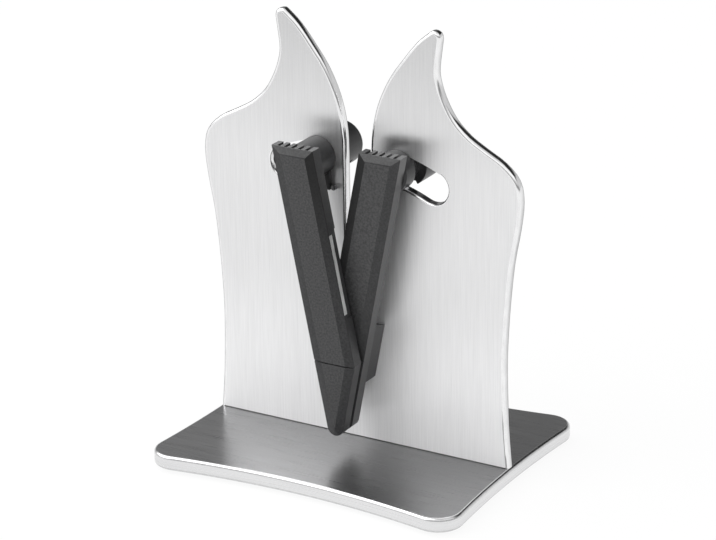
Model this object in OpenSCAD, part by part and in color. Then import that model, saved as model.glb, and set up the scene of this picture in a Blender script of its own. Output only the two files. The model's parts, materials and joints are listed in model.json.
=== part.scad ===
// Pull-through knife sharpener: two sprung arms cross in front of an upright steel plate.
// The blade is drawn down between the arms, which turn outwards about one pivot bolt.
// X runs left to right, Y front to back, Z up. The origin is on the table, under the base's middle.

/* [Base] */
// Width of the base, left to right
base_w = 128.8; // [118:1:160]
// Depth of the base, front to back
base_d = 103; // [80:1:130]
// Thickness of the base plate
base_t = 5.7; // [5:0.1:10]
// How far the long sides of the base bow inwards
base_side_bow = 4.5; // [1:0.5:8]
// How far the short sides of the base bow inwards
base_end_bow = 1.7; // [0.5:0.1:4]
// Corner radius of the base, seen from above
base_corner_r = 9.6; // [5:0.2:14]
// Rounding of the polished edges of both steel plates
edge_r = 1.2; // [0.6:0.1:1.6]
// Radius of a rubber foot
foot_r = 6; // [4:0.5:8]
// Height that the rubber feet stand out under the base
foot_h = 1.5; // [1:0.1:4]
// Distance from the middle of a foot to the edges of the base
foot_inset = 17; // [14:0.5:24]

/* [Upright plate] */
// Width across the shoulders of the upright plate
shoulder_w = 132.6; // [124:0.2:150]
// Height of the upright plate above the base
plate_h = 162.5; // [154:0.5:180]
// Thickness of the upright plate
plate_t = 4; // [3.6:0.1:6]
// Distance of the plate's middle plane behind the middle of the base
plate_set_back = 0.6; // [0:0.1:6]
// Width of the knife channel between the horns
channel_w = 10.4; // [9:0.2:14]
// Height of the channel's round bottom above the base
channel_floor = 52.8; // [46:0.2:58]
// Width of the curved slots
slot_w = 12.5; // [12:0.1:14]

/* [Arms] */
// Height of the pivot above the base
pivot_rise = 36.9; // [34:0.1:40]
// Tilt of each arm from the vertical at rest
arm_tilt = 11.35; // [10:0.05:13]
// Swing of each arm to its outer limit
arm_swing = 11.8; // [8:0.1:12]
// Width of an arm
arm_w = 16.7; // [15:0.1:18]
// Thickness of an arm, front panel and all
arm_t = 5.8; // [5.4:0.1:8]
// Height of the top of the arms above the axes of their hubs
arm_over_hub = 8.5; // [7:0.1:12]
// Radius of the arms' lower tips
tip_r = 3.3; // [2.5:0.1:4.5]
// Space between the front arm and the rear arm
arm_gap = 1.1; // [0.8:0.1:2]
// Thickness of the block between the rear arm and the plate
block_t = 7.1; // [6:0.1:10]
// Width of the bevel along the sides of the front panels
bevel_w = 3.4; // [2:0.1:4.5]
// How far the front panels stand out
panel_proud = 0.8; // [0.4:0.1:1.4]
// Length of a sharpening bar
bar_len = 30.4; // [20:0.2:36]
// Number of grip grooves on top of an arm
groove_count = 5; // [3:1:6]

/* [Pivot and hubs] */
// Radius of the pivot bolt
bolt_r = 3; // [2.5:0.1:3.2]
// Outer radius of the pivot bushes
bush_r = 4.5; // [4.2:0.1:5]
// Distance from the pivot to a hub
hub_reach = 73.9; // [71:0.1:75]
// Angle of the line from the pivot to a hub, from the vertical at rest
hub_angle = 12.95; // [12.5:0.05:14]
// Outer radius of the hubs in front of the plate
hub_r = 7.4; // [6.8:0.1:8]
// Radius of the hub shafts in the slots
shaft_r = 5.2; // [4.8:0.1:5.4]
// Radius of the rear caps
cap_r = 8.4; // [7.6:0.1:9]
// Length of the rear caps
cap_len = 12.3; // [11:0.1:16]
// Gap between the plate and the rear caps
cap_gap = 2.4; // [2:0.1:4]

/* [Springs] */
// Radius of the spring wire
wire_r = 0.55; // [0.4:0.05:0.6]
// Mean radius of the spring coils
coil_r = 5.4; // [5.2:0.1:6]
// Advance of the spring coils for each turn
coil_pitch = 1.55; // [1.5:0.05:1.7]
// Whole turns of each spring before its quarter turn
coil_turns = 2; // [1:1:2]

/* [Hidden] */
$fn = 64;

// Clearances and the overrun of cuts
run_gap = 0.05;    // between faces and shafts that slide
fit_gap = 0.1;     // between pieces laid into a pocket
plate_gap = 0.2;   // between the plate and the hubs that slide along it
free_gap = 0.3;    // between pieces that pass each other
overrun = 1;       // how far a cut runs past the face that it opens

// Levels of the steel plates
base_top = foot_h + base_t;
pivot_z = base_top + pivot_rise;
plate_front = plate_set_back - plate_t / 2;
plate_back = plate_set_back + plate_t / 2;

// Rows of each arm, front to back: the right arm is the rear one
hub_back = plate_front - plate_gap;
right_back = hub_back - block_t;
left_back = right_back - arm_t - arm_gap;

// Outline of the upright plate, right half, from its foot to the tip of the horn:
// shares of half the shoulder width and of the plate's height
horn_outer_shares = [
    [0.934, 0], [0.914, 0.098], [0.9035, 0.22], [0.9065, 0.295], [0.9216, 0.393],
    [0.947, 0.491], [0.983, 0.571], [1, 0.637], [0.976, 0.686], [0.893, 0.721],
    [0.787, 0.745], [0.683, 0.77], [0.594, 0.804], [0.531, 0.848], [0.498, 0.888],
    [0.493, 0.916]
];
horn_tip_share = 0.4676;
// Round tip of the horn, which keeps its size: distances from its highest point, across and down
horn_tip = [[2.68, 5.69], [3.01, 2.76], [2.28, 0.81], [0, 0], [-2.01, 1.2]];
// From the tip down to the channel: shares of the tip's distance from the channel and of the height
horn_inner_shares = [
    [0.744, 0.968], [0.543, 0.929], [0.314, 0.879],
    [0.151, 0.826], [0.062, 0.78], [0.012, 0.732], [0, 0.684]
];
outline_steps = 3;
channel_steps = 6;

// Rounded edge: rings between a face and the side
edge_steps = 3;

// Arm: lip and tongue of the covers, pocket in the body, bar, seam and top grooves
lip_t = 0.3;
pocket_depth = 0.9;
pocket_inset = 4.6;
pocket_low = 14;
pocket_margin = 6;
seam_drop = 0.35;
seam_gap = 0.5;
top_bevel = 3;
panel_tip_r = 0.3;
bar_t = 2;
bar_depth = 4;
bar_start = 18.2;
bar_recess = 0.4;
recess_margin = 1.6;
groove_pitch = 2.9;
groove_w = 1.3;
groove_depth = 1.2;
spacer_r = 5.6;
spacer_hole_r = 6;

// Block between the rear arm and the plate
block_low = 10.8;
block_high = 12.9;
block_slope = 2.5;

// Bolt, sleeve, washer and nut
head_t = 1.6;
head_r = bush_r - free_gap;
sleeve_wall = 1.3;
sleeve_flange_r = 8;
sleeve_flange_t = 1.4;
washer_t = 1.6;
nut_flats_r = 5.2;
nut_t = 3;
nut_dome = 2.6;
nut_wall = 1;

// Hub: spigot in the arm, rounded rim, stop lug and its pin
spigot_r = 2.4;
spigot_len = 3;
hub_round = 1;
lug_w = 1.6;
lug_t = 1.7;
lug_top = 4.6;
pin_inset = 6.86;
pin_drop = 11.2;
pin_r = 1;
pin_proud = 1.5;

// Rear cap: core of the shaft, window and screw
core_r = 4.2;
core_len = 8.4;
window_len = 6;
window_angle = 90;
cap_round = 1.2;
cap_screw_r = 1.5;
cap_head_r = 3;
cap_head_t = 1.5;
cap_screw_len = 8;
hex_r = 1.25;
hex_depth = 0.9;

// Lock screw in the front arm's outer side
lock_over_hub = 3.93;
lock_head_r = 2.9;
lock_head_t = 1.5;
lock_shank_r = 1.5;
lock_shank_len = 4.3;

// Feet and base screws
foot_sink = 1;
foot_round = 0.5;
base_screw_x = 45;
base_screw_r = 1.25;
base_screw_head_r = 2.7;
base_screw_head_t = 1.5;
base_screw_grip = 6;

// Springs: steps of a turn, sides of the wire, quarter turn and anchor
turn_steps = 8;
wire_sides = 6;
anchor_len = 1.6;
quarter_turn = 1 / 4;

// Derived values of the arms
hub_x = hub_reach * sin(hub_angle);
hub_z = pivot_z + hub_reach * cos(hub_angle);
arm_rise = hub_z - pivot_z + arm_over_hub;
pin_x = hub_x - pin_inset;
lock_rise = hub_reach * cos(hub_angle - arm_tilt) + lock_over_hub;
cap_front = plate_back + cap_gap;
cap_back = cap_front + cap_len;
v_drop = (arm_w / 2 - tip_r) / sin(arm_tilt);
right_pocket_floor = right_back - arm_t + panel_proud + lip_t + pocket_depth;
left_pocket_floor = left_back - arm_t + panel_proud + lip_t + pocket_depth;
head_back = left_pocket_floor + run_gap + head_t;
left_bush_front = head_back + run_gap;

// Derived values of the springs: advance of a whole spring, its leg, its anchor and the washer
all_turns = coil_turns + quarter_turn;
spring_advance = coil_pitch * all_turns;
leg_lean = hub_angle + asin(coil_r / hub_reach);
leg_start = 180 - leg_lean;
anchor_angle = leg_start + all_turns * 360;
left_leg_y = plate_back + sleeve_flange_t + free_gap + wire_r + spring_advance;
right_leg_y = left_leg_y + 2 * wire_r + free_gap + run_gap;
washer_y = right_leg_y + spring_advance + wire_r + free_gap;

// Smooth curve through points, with a few steps between neighbours
function curve_at(a, b, c, d, t) =
    (2 * b + (c - a) * t + (2 * a - 5 * b + 4 * c - d) * t ^ 2 + (3 * b - a - 3 * c + d) * t ^ 3) / 2;
function smooth(p, steps) = concat([
    for (i = [0 : len(p) - 2], k = [0 : steps - 1])
        curve_at(p[max(i - 1, 0)], p[i], p[i + 1], p[min(i + 2, len(p) - 1)], k / steps)
], [p[len(p) - 1]]);

// Points i0 to i1 of a list, forwards or backwards, mirrored across the axes
function mirrored(p, i0, i1, sx, sy) =
    [for (i = [i0 : sign(i1 - i0) : i1]) [sx * p[i][0], sy * p[i][1]]];

function unit(v) = v / norm(v);

// Outward direction at each point of a closed outline that runs counter-clockwise
function outward(p) = [
    for (i = [0 : len(p) - 1])
        let (t = p[(i + 1) % len(p)] - p[(i + len(p) - 1) % len(p)])
        unit([t[1], -t[0]])
];

// Cuts a closed outline into triangles, one ear at a time
function turn(a, b, c) = cross(b - a, c - a);
function holds(p, a, b, c) = turn(a, b, p) >= 0 && turn(b, c, p) >= 0 && turn(c, a, p) >= 0;
function is_ear(p, left, k) =
    let (n = len(left), a = p[left[(k + n - 1) % n]], b = p[left[k]], c = p[left[(k + 1) % n]])
    turn(a, b, c) > 0 && len([for (m = [2 : n - 2]) if (holds(p[left[(k + m) % n]], a, b, c)) m]) == 0;
function triangles(p, left, k = 0, done = []) =
    let (n = len(left), at = k % n)
    n == 3 ? concat(done, [left])
    : !is_ear(p, left, at) ? triangles(p, left, at + 1, done)
    : triangles(
        p, [for (m = [0 : n - 1]) if (m != at) left[m]], at,
        concat(done, [[left[(at + n - 1) % n], left[at], left[(at + 1) % n]]])
    );

// Slab from z = 0 to t with rounded top and bottom edges
module rounded_slab(p, n, t, r) {
    count = len(p);
    angles = [for (k = [0 : edge_steps]) 90 * k / edge_steps];
    low = [for (a = angles) [r * (1 - sin(a)), r * (1 - cos(a))]];
    high = [for (k = [edge_steps : -1 : 0]) [low[k][0], t - low[k][1]]];
    rings = concat(low, high);
    points = [
        for (ring = rings, i = [0 : count - 1])
            [p[i][0] - n[i][0] * ring[0], p[i][1] - n[i][1] * ring[0], ring[1]]
    ];
    sides = [
        for (k = [0 : len(rings) - 2], i = [0 : count - 1])
            let (j = (i + 1) % count, a = k * count, b = a + count)
            each [[a + i, b + i, b + j], [a + i, b + j, a + j]]
    ];
    flat = [for (i = [0 : count - 1]) p[i] - n[i] * r];
    bottom = triangles(flat, [for (i = [0 : count - 1]) i]);
    last = (len(rings) - 1) * count;
    top = [for (f = bottom) [last + f[0], last + f[2], last + f[1]]];
    polyhedron(points, concat(sides, bottom, top));
}

// Moves a shape drawn in X and Z so that it fills Y from y0 to y1
module along_y(y0, y1) {
    translate([0, y1, 0]) rotate([90, 0, 0]) linear_extrude(y1 - y0) children();
}

// Cylinder along Y from y0 to y1, about the pivot
module pivot_rod(r, y0, y1) {
    translate([0, y1, pivot_z]) rotate([90, 0, 0]) cylinder(r = r, h = y1 - y0);
}

// The same about the right hub's axis
module hub_rod(r, y0, y1) {
    translate([hub_x, y1, hub_z]) rotate([90, 0, 0]) cylinder(r = r, h = y1 - y0);
}

// One quarter of the base's outline: bowed sides that meet in a round corner
function base_quarter() =
    let (
        cx = base_w / 2 - base_corner_r,
        cy = base_d / 2 - base_corner_r,
        end_lean = atan(2 * base_end_bow / cy),
        side_lean = atan(2 * base_side_bow / cx),
        steps = 5,
        end_x = cx + base_corner_r * cos(end_lean),
        end_y = cy - base_corner_r * sin(end_lean),
        side_x = cx - base_corner_r * sin(side_lean),
        side_y = cy + base_corner_r * cos(side_lean)
    )
    concat(
        [for (k = [0 : steps - 1]) [end_x - base_end_bow * (1 - (k / steps) ^ 2), end_y * k / steps]],
        [for (k = [0 : steps])
            let (a = -end_lean + (90 + end_lean + side_lean) * k / steps)
            [cx + base_corner_r * cos(a), cy + base_corner_r * sin(a)]],
        [for (k = [steps - 1 : -1 : 0])
            [side_x * k / steps, side_y - base_side_bow * (1 - (k / steps) ^ 2)]]
    );

module base_plate() {
    quarter = base_quarter();
    last = len(quarter) - 1;
    outline = concat(
        mirrored(quarter, 0, last, 1, 1), mirrored(quarter, last - 1, 0, -1, 1),
        mirrored(quarter, 1, last, -1, -1), mirrored(quarter, last - 1, 1, 1, -1)
    );
    color("silver") difference() {
        translate([0, 0, foot_h]) rounded_slab(outline, outward(outline), base_t, edge_r);
        foot_places() translate([0, 0, -overrun])
            cylinder(r = foot_r, h = foot_h + foot_sink + overrun);
        base_screw_places() {
            cylinder(r = base_screw_r, h = base_top + overrun);
            cylinder(r = base_screw_head_r, h = foot_h + base_screw_head_t);
        }
    }
}

// The four places of the feet, on the table
module foot_places() {
    for (sx = [-1, 1], sy = [-1, 1])
        translate([sx * (base_w / 2 - foot_inset), sy * (base_d / 2 - foot_inset), 0]) children();
}

module rubber_feet() {
    side = [[0, 0], [foot_r - foot_round, 0], [foot_r, foot_round], [foot_r, foot_h + foot_sink],
        [0, foot_h + foot_sink]];
    color("dimgray") foot_places() rotate_extrude() polygon(side);
}

// The three places of the screws between base and plate
module base_screw_places() {
    for (k = [-1, 0, 1]) translate([k * base_screw_x, plate_set_back, 0]) children();
}

module base_screws() {
    color("gray") base_screw_places() translate([0, 0, foot_h]) difference() {
        union() {
            cylinder(r = base_screw_head_r, h = base_screw_head_t);
            cylinder(r = base_screw_r, h = base_t + base_screw_grip);
        }
        translate([0, 0, -overrun]) cylinder(r = hex_r, h = hex_depth + overrun, $fn = 6);
    }
}

// Right half of the upright plate's outline, from its foot to the channel's lowest point
function plate_half() =
    let (
        half_w = shoulder_w / 2,
        channel_r = channel_w / 2,
        tip_x = half_w * horn_tip_share,
        outer = [for (s = horn_outer_shares) [half_w * s[0], plate_h * s[1]]],
        tip = [for (d = horn_tip) [tip_x + d[0], plate_h - d[1]]],
        inner = [for (s = horn_inner_shares)
            [channel_r + (tip_x - channel_r) * s[0], plate_h * s[1]]],
        round_bottom = [for (k = [0 : channel_steps])
            let (a = 90 * k / channel_steps)
            [channel_r * cos(a), channel_floor + channel_r * (1 - sin(a))]]
    )
    concat(smooth(concat(outer, tip, inner), outline_steps), round_bottom);

// The curved slot that the right hub shaft runs in, about the pivot
module slot_shape() {
    difference() {
        intersection() {
            circle(r = hub_reach + slot_w / 2);
            polygon([
                [0, 0],
                2 * hub_reach * [sin(hub_angle), cos(hub_angle)],
                2 * hub_reach * [sin(hub_angle + arm_swing), cos(hub_angle + arm_swing)]
            ]);
        }
        circle(r = hub_reach - slot_w / 2);
    }
    for (a = [hub_angle, hub_angle + arm_swing])
        translate(hub_reach * [sin(a), cos(a)]) circle(r = slot_w / 2);
}

module upright_plate() {
    half = plate_half();
    last = len(half) - 1;
    outline = concat(mirrored(half, 0, last, 1, 1), mirrored(half, last - 1, 0, -1, 1));
    free = outward(outline);
    level = [for (i = [0 : len(free) - 1])
        i == 0 || i == len(free) - 1 ? [sign(free[i][0]), 0] : free[i]];
    color("gainsboro") difference() {
        translate([0, plate_back, base_top]) rotate([90, 0, 0])
            rounded_slab(outline, level, plate_t, edge_r);
        pivot_rod(bolt_r, plate_front - overrun, plate_back + overrun);
        for (side = [0, 1]) mirror([side, 0, 0]) {
            translate([0, 0, pivot_z]) along_y(plate_front - overrun, plate_back + overrun)
                slot_shape();
            translate([pin_x, plate_back + overrun, hub_z - pin_drop]) rotate([90, 0, 0])
                cylinder(r = pin_r, h = plate_t + 2 * overrun);
        }
        base_screw_places() cylinder(r = base_screw_r, h = foot_h + base_t + base_screw_grip);
    }
}

module stop_pins() {
    color("dimgray") for (side = [0, 1]) mirror([side, 0, 0])
        translate([pin_x, plate_back, hub_z - pin_drop]) rotate([90, 0, 0])
            cylinder(r = pin_r, h = plate_t + pin_proud);
}

// Half width of an arm at its pivot level, drawn in by inset, and the lean of its sides
function half_width(inset) = (arm_w / 2 - inset) / cos(arm_tilt);
function lean(z) = z * tan(arm_tilt);

// Upper part of the right arm, seen from the front, from low (at or under the pivot) to high
module arm_strip(inset, low, high) {
    e = half_width(inset);
    polygon([
        [e + lean(low), low], [e + lean(high), high], [-e + lean(high), high],
        [-e, 0], [-e - lean(low), low]
    ]);
}

// Lower V of an arm, from its round tip up to high (at or under the pivot)
module arm_foot(inset, high, r) {
    e = half_width(inset);
    side = [r * cos(arm_tilt), -v_drop - r * sin(arm_tilt)];
    polygon([side, [e + lean(high), high], [-e - lean(high), high], [-side[0], side[1]]]);
    translate([0, -v_drop]) circle(r = r);
}

// Pocket in the arm and tongues on its covers, from low to high about the pivot
module tongue_shape(inset, low, high) {
    e = half_width(inset);
    polygon([[e + lean(low), low], [e + lean(high), high], [-e + lean(high), high],
        [-e + lean(max(low, 0)), max(low, 0)], [-e - lean(min(low, 0)), low]]);
}

// Everything in an arm's own frame: its axis upright through the pivot
module in_arm_frame() {
    translate([0, 0, pivot_z]) rotate([0, arm_tilt, 0]) children();
}

// Right arm's body with its back face at y = back
module arm_body(back) {
    side_front = back - arm_t + panel_proud;
    front = side_front + lip_t;
    bar_back = front + bar_t;
    difference() {
        translate([0, 0, pivot_z]) along_y(front, back) {
            arm_strip(0, 0, arm_rise);
            arm_foot(0, 0, tip_r);
        }
        translate([0, 0, pivot_z]) along_y(front - overrun, front + pocket_depth)
            tongue_shape(pocket_inset, -pocket_low, arm_rise - pocket_margin);
        pivot_rod(bush_r, front - overrun, back + overrun);
        hub_rod(spigot_r, back - spigot_len, back + overrun);
        in_arm_frame() {
            translate([-arm_w / 2 - overrun, front - overrun, bar_start])
                cube([bar_depth + overrun, bar_t + overrun, bar_len]);
            translate([-arm_w / 2 - overrun, bar_back, bar_start - recess_margin])
                cube([bar_recess + overrun, back - bar_back + overrun, bar_len + 2 * recess_margin]);
        }
        for (k = [0 : groove_count - 1])
            translate([
                lean(arm_rise) + (k - (groove_count - 1) / 2) * groove_pitch - groove_w / 2,
                front - overrun,
                pivot_z + arm_rise - groove_depth
            ]) cube([groove_w, back - front + 2 * overrun, groove_depth + overrun]);
    }
}

// Bevelled panel above the seam, with the tongue that sits in the body
module arm_cover(back) {
    side_front = back - arm_t + panel_proud;
    low = seam_gap / 2 - seam_drop;
    translate([0, 0, pivot_z]) {
        hull() {
            along_y(side_front, side_front + lip_t) arm_strip(0, low, arm_rise);
            along_y(side_front - panel_proud, side_front + lip_t)
                arm_strip(bevel_w, low, arm_rise - top_bevel);
        }
        along_y(side_front, side_front + lip_t + pocket_depth - fit_gap)
            tongue_shape(pocket_inset + fit_gap, low, arm_rise - pocket_margin - fit_gap);
    }
}

// Bevelled panel below the seam, narrowing to the tip
module end_cap(back) {
    side_front = back - arm_t + panel_proud;
    high = -seam_drop - seam_gap / 2;
    translate([0, 0, pivot_z]) {
        hull() {
            along_y(side_front, side_front + lip_t) arm_foot(0, high, tip_r);
            along_y(side_front - panel_proud, side_front + lip_t)
                arm_foot(bevel_w, high, panel_tip_r);
        }
        along_y(side_front, side_front + lip_t + pocket_depth - fit_gap)
            end_tongue_shape(high);
    }
}

module end_tongue_shape(high) {
    e = half_width(pocket_inset + fit_gap);
    low = -pocket_low + fit_gap;
    polygon([[e + lean(low), low], [e + lean(high), high], [-e - lean(high), high],
        [-e - lean(low), low]]);
}

module sharpening_bar(back) {
    front = back - arm_t + panel_proud + lip_t;
    in_arm_frame() translate([-arm_w / 2, front, bar_start]) cube([bar_depth, bar_t, bar_len]);
}

// Spacer behind an arm: a sleeve with a rounded rim, and the lug that stops against a pin
module hub(back) {
    length = hub_back - back;
    rim = [
        [shaft_r, 0], [hub_r - hub_round, 0],
        for (k = [0 : 3]) let (a = 90 * k / 3)
            [hub_r - hub_round + hub_round * sin(a), hub_round * (1 - cos(a))],
        [hub_r, length], [shaft_r, length]
    ];
    lug_x = pin_x + pin_r + free_gap;
    translate([hub_x, back, hub_z]) rotate([-90, 0, 0]) rotate_extrude() polygon(rim);
    translate([lug_x, hub_back - lug_t, hub_z - pin_drop - pin_r])
        cube([lug_w, lug_t, pin_drop + pin_r - lug_top]);
}

// Stepped shaft: spigot in the arm, full size through hub and slot, core in the rear cap
module hub_shaft(back) {
    core_end = cap_front + core_len;
    difference() {
        union() {
            hub_rod(spigot_r, back - spigot_len, back);
            hub_rod(shaft_r, back, cap_front);
            hub_rod(core_r, cap_front, core_end);
        }
        hub_rod(cap_screw_r, cap_back - cap_head_t - cap_screw_len, core_end + overrun);
    }
}

// Rear cap: a turned cap whose front part is cut away towards the pivot
module rear_cap() {
    body = [
        [0, 0], [cap_r, 0], [cap_r, cap_len - cap_round],
        for (k = [1 : 3]) let (a = 90 * k / 3)
            [cap_r - cap_round * (1 - cos(a)), cap_len - cap_round * (1 - sin(a))],
        [0, cap_len]
    ];
    to_pivot = 270 - hub_angle;
    reach = 2 * cap_r;
    difference() {
        translate([hub_x, cap_front, hub_z]) rotate([-90, 0, 0]) rotate_extrude() polygon(body);
        hub_rod(core_r, cap_front - overrun, cap_front + core_len);
        hub_rod(cap_screw_r, cap_front, cap_back + overrun);
        hub_rod(cap_head_r, cap_back - cap_head_t, cap_back + overrun);
        translate([hub_x, 0, hub_z]) along_y(cap_front - overrun, cap_front + window_len)
            polygon([
                [0, 0],
                reach * [cos(to_pivot - window_angle / 2), sin(to_pivot - window_angle / 2)],
                reach * [cos(to_pivot), sin(to_pivot)],
                reach * [cos(to_pivot + window_angle / 2), sin(to_pivot + window_angle / 2)]
            ]);
    }
}

module cap_screw() {
    head_front = cap_back - cap_head_t;
    difference() {
        union() {
            hub_rod(cap_head_r - fit_gap, head_front, cap_back);
            hub_rod(cap_screw_r, head_front - cap_screw_len + fit_gap, head_front);
        }
        translate([hub_x, cap_back + overrun, hub_z]) rotate([90, 0, 0])
            cylinder(r = hex_r, h = hex_depth + overrun, $fn = 6);
    }
}

// Places a shape on the axis of the lock screw, in the outer side of the front arm
module at_lock_screw() {
    front = left_back - arm_t + panel_proud + lip_t;
    left_side() in_arm_frame()
        translate([arm_w / 2, (front + left_back) / 2, lock_rise]) rotate([0, 90, 0]) children();
}

module lock_screw() {
    dome_r = (lock_head_r ^ 2 + lock_head_t ^ 2) / (2 * lock_head_t);
    color("silver") at_lock_screw() difference() {
        union() {
            intersection() {
                translate([0, 0, lock_head_t - dome_r]) sphere(r = dome_r);
                cylinder(r = lock_head_r, h = lock_head_t);
            }
            translate([0, 0, fit_gap - lock_shank_len])
                cylinder(r = lock_shank_r, h = lock_shank_len);
        }
        translate([0, 0, lock_head_t - hex_depth]) cylinder(r = hex_r, h = lock_head_t, $fn = 6);
    }
}

// Plain bush between the bolt and an arm
module pivot_bush(y0, y1) {
    difference() {
        pivot_rod(bush_r, y0, y1);
        pivot_rod(bolt_r + run_gap, y0 - overrun, y1 + overrun);
    }
}

module left_pivot_bush() {
    color("peru") pivot_bush(left_bush_front, left_back);
}

module right_pivot_bush() {
    color("peru") pivot_bush(right_pocket_floor, hub_back);
}

module pivot_bolt() {
    color("gray") {
        pivot_rod(head_r, head_back - head_t, head_back);
        pivot_rod(bolt_r, head_back, washer_y + washer_t + nut_t);
    }
}

// Washer between the two arms, in a round opening of the rear arm's panels
module pivot_spacer() {
    color("silver") difference() {
        pivot_rod(spacer_r, left_back + run_gap, right_pocket_floor - run_gap);
        pivot_rod(bolt_r + run_gap, left_back - overrun, right_pocket_floor + overrun);
    }
}

// Kidney slot that a spring's anchor sits in, with room for the arm's swing
module anchor_slot(from, to) {
    slot_r = wire_r + free_gap;
    difference() {
        intersection() {
            circle(r = coil_r + slot_r);
            polygon([
                [0, 0],
                2 * coil_r * [cos(from), sin(from)],
                2 * coil_r * [cos(to), sin(to)]
            ]);
        }
        circle(r = coil_r - slot_r);
    }
    for (a = [from, to]) translate(coil_r * [cos(a), sin(a)]) circle(r = slot_r);
}

module spring_sleeve() {
    sleeve_r = bolt_r + sleeve_wall;
    flange_back = plate_back + sleeve_flange_t;
    color("darkgray") difference() {
        union() {
            pivot_rod(sleeve_flange_r, plate_back, flange_back);
            pivot_rod(sleeve_r, plate_back, washer_y);
        }
        pivot_rod(bolt_r, plate_back - overrun, washer_y + overrun);
        mirror([1, 0, 0]) translate([0, 0, pivot_z])
            along_y(plate_back - overrun, flange_back + overrun)
            anchor_slot(anchor_angle - arm_swing, anchor_angle);
    }
}

module pivot_washer() {
    color("silver") difference() {
        pivot_rod(sleeve_flange_r, washer_y, washer_y + washer_t);
        pivot_rod(bolt_r, washer_y - overrun, washer_y + washer_t + overrun);
        translate([0, 0, pivot_z]) along_y(washer_y - overrun, washer_y + washer_t + overrun)
            anchor_slot(anchor_angle - arm_swing, anchor_angle);
    }
}

// Dome nut: six flats and a blind dome
module pivot_nut() {
    nut_front = washer_y + washer_t;
    dome_base_r = nut_flats_r * cos(30);
    dome_r = (dome_base_r ^ 2 + nut_dome ^ 2) / (2 * nut_dome);
    color("silver") difference() {
        union() {
            translate([0, nut_front + nut_t, pivot_z]) rotate([90, 0, 0])
                cylinder(r = nut_flats_r, h = nut_t, $fn = 6);
            translate([0, nut_front + nut_t, pivot_z]) rotate([-90, 0, 0]) intersection() {
                translate([0, 0, nut_dome - dome_r]) sphere(r = dome_r);
                translate([0, 0, -nut_wall]) cylinder(r = dome_base_r, h = nut_dome + nut_wall);
            }
        }
        pivot_rod(bolt_r, nut_front - overrun, nut_front + nut_t);
    }
}

// Block round the pivot between the rear arm and the plate, sloped on top
module right_pivot_block() {
    color("darkslategray") difference() {
        translate([0, 0, pivot_z]) along_y(right_back, hub_back) intersection() {
            union() {
                arm_strip(0, 0, arm_rise);
                arm_foot(0, 0, tip_r);
            }
            translate([-arm_w, -block_low]) square([2 * arm_w, block_low + block_high]);
        }
        pivot_rod(bush_r, right_back - overrun, hub_back + overrun);
        translate([-arm_w, 0, pivot_z]) rotate([90, 0, 90]) linear_extrude(2 * arm_w)
            polygon([
                [right_back, block_high], [hub_back, block_high - block_slope],
                [hub_back + overrun, block_high - block_slope], [hub_back + overrun, 2 * block_high],
                [right_back, 2 * block_high]
            ]);
    }
}

// Path of the right spring: each entry holds a place, the wire's direction and a radial direction.
// The leg comes down from the shaft's core, winds round the sleeve and ends in the anchor.
function spring_path(leg_y, toward) =
    let (
        radial = function (a) [cos(a), 0, sin(a)],
        down = -[sin(leg_lean), 0, cos(leg_lean)],
        start = [coil_r * cos(leg_start), leg_y, coil_r * sin(leg_start)],
        leg_len = sqrt(hub_reach ^ 2 - coil_r ^ 2) - core_r - fit_gap,
        steps = turn_steps * all_turns,
        end_y = leg_y + toward * spring_advance,
        last = radial(anchor_angle)
    )
    concat(
        [[start - down * leg_len, down, radial(leg_start)]],
        [for (k = [0 : steps])
            let (a = leg_start + 360 * k / turn_steps)
            [
                [coil_r * cos(a), leg_y + toward * coil_pitch * k / turn_steps, coil_r * sin(a)],
                unit([-sin(a), k == 0 ? 0 : k == steps ? toward : 0, cos(a)]),
                radial(a)
            ]],
        [[coil_r * last + [0, end_y + toward * anchor_len, 0], [0, toward, 0], last]]
    );

// Wire swept along a path
module wire(path) {
    rings = [
        for (station = path)
            let (side = cross(station[1], station[2]))
            [for (k = [0 : wire_sides - 1])
                let (a = 360 * k / wire_sides)
                station[0] + wire_r * (cos(a) * station[2] + sin(a) * side)]
    ];
    faces = [
        for (i = [0 : len(rings) - 2], k = [0 : wire_sides - 1])
            let (j = (k + 1) % wire_sides, a = i * wire_sides, b = a + wire_sides)
            each [[a + k, b + k, b + j], [a + k, b + j, a + j]]
    ];
    last = (len(rings) - 1) * wire_sides;
    near_end = [for (k = [1 : wire_sides - 2]) [0, k, k + 1]];
    far_end = [for (k = [1 : wire_sides - 2]) [last, last + k + 1, last + k]];
    polyhedron([for (ring = rings) each ring], concat(faces, near_end, far_end));
}

// Least gap of the wire to itself, between stations at least five apart
function least_gap(path) = min([
    for (i = [1 : len(path) - 7], j = [i + 5 : len(path) - 2])
        norm(path[i][0] - path[j][0]) - 2 * wire_r
]);

module return_spring(leg_y, toward) {
    path = spring_path(leg_y, toward);
    echo(spring_gap = least_gap(path));
    color("lightsteelblue") translate([0, 0, pivot_z]) wire(path);
}

// The front arm, on the left: the same mouldings, mirrored
module left_side() {
    mirror([1, 0, 0]) children();
}

module left_arm_body() {
    color("dimgray") difference() {
        left_side() arm_body(left_back);
        at_lock_screw() translate([0, 0, -lock_shank_len])
            cylinder(r = lock_shank_r, h = lock_shank_len + overrun);
    }
}

module left_arm_cover() {
    color("dimgray") left_side() arm_cover(left_back);
}

module left_end_cap() {
    color("dimgray") left_side() end_cap(left_back);
}

module left_sharpening_bar() {
    color("lightgray") left_side() sharpening_bar(left_back);
}

module left_hub() {
    color("gray") left_side() hub(left_back);
}

module left_hub_shaft() {
    color("silver") left_side() hub_shaft(left_back);
}

module left_rear_cap() {
    color("dimgray") left_side() rear_cap();
}

module left_cap_screw() {
    color("silver") left_side() cap_screw();
}

module left_return_spring() {
    left_side() return_spring(left_leg_y, -1);
}

// The rear arm, on the right: its panels open round the spacer
module right_arm_body() {
    color("dimgray") difference() {
        arm_body(right_back);
        spacer_opening();
    }
}

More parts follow.
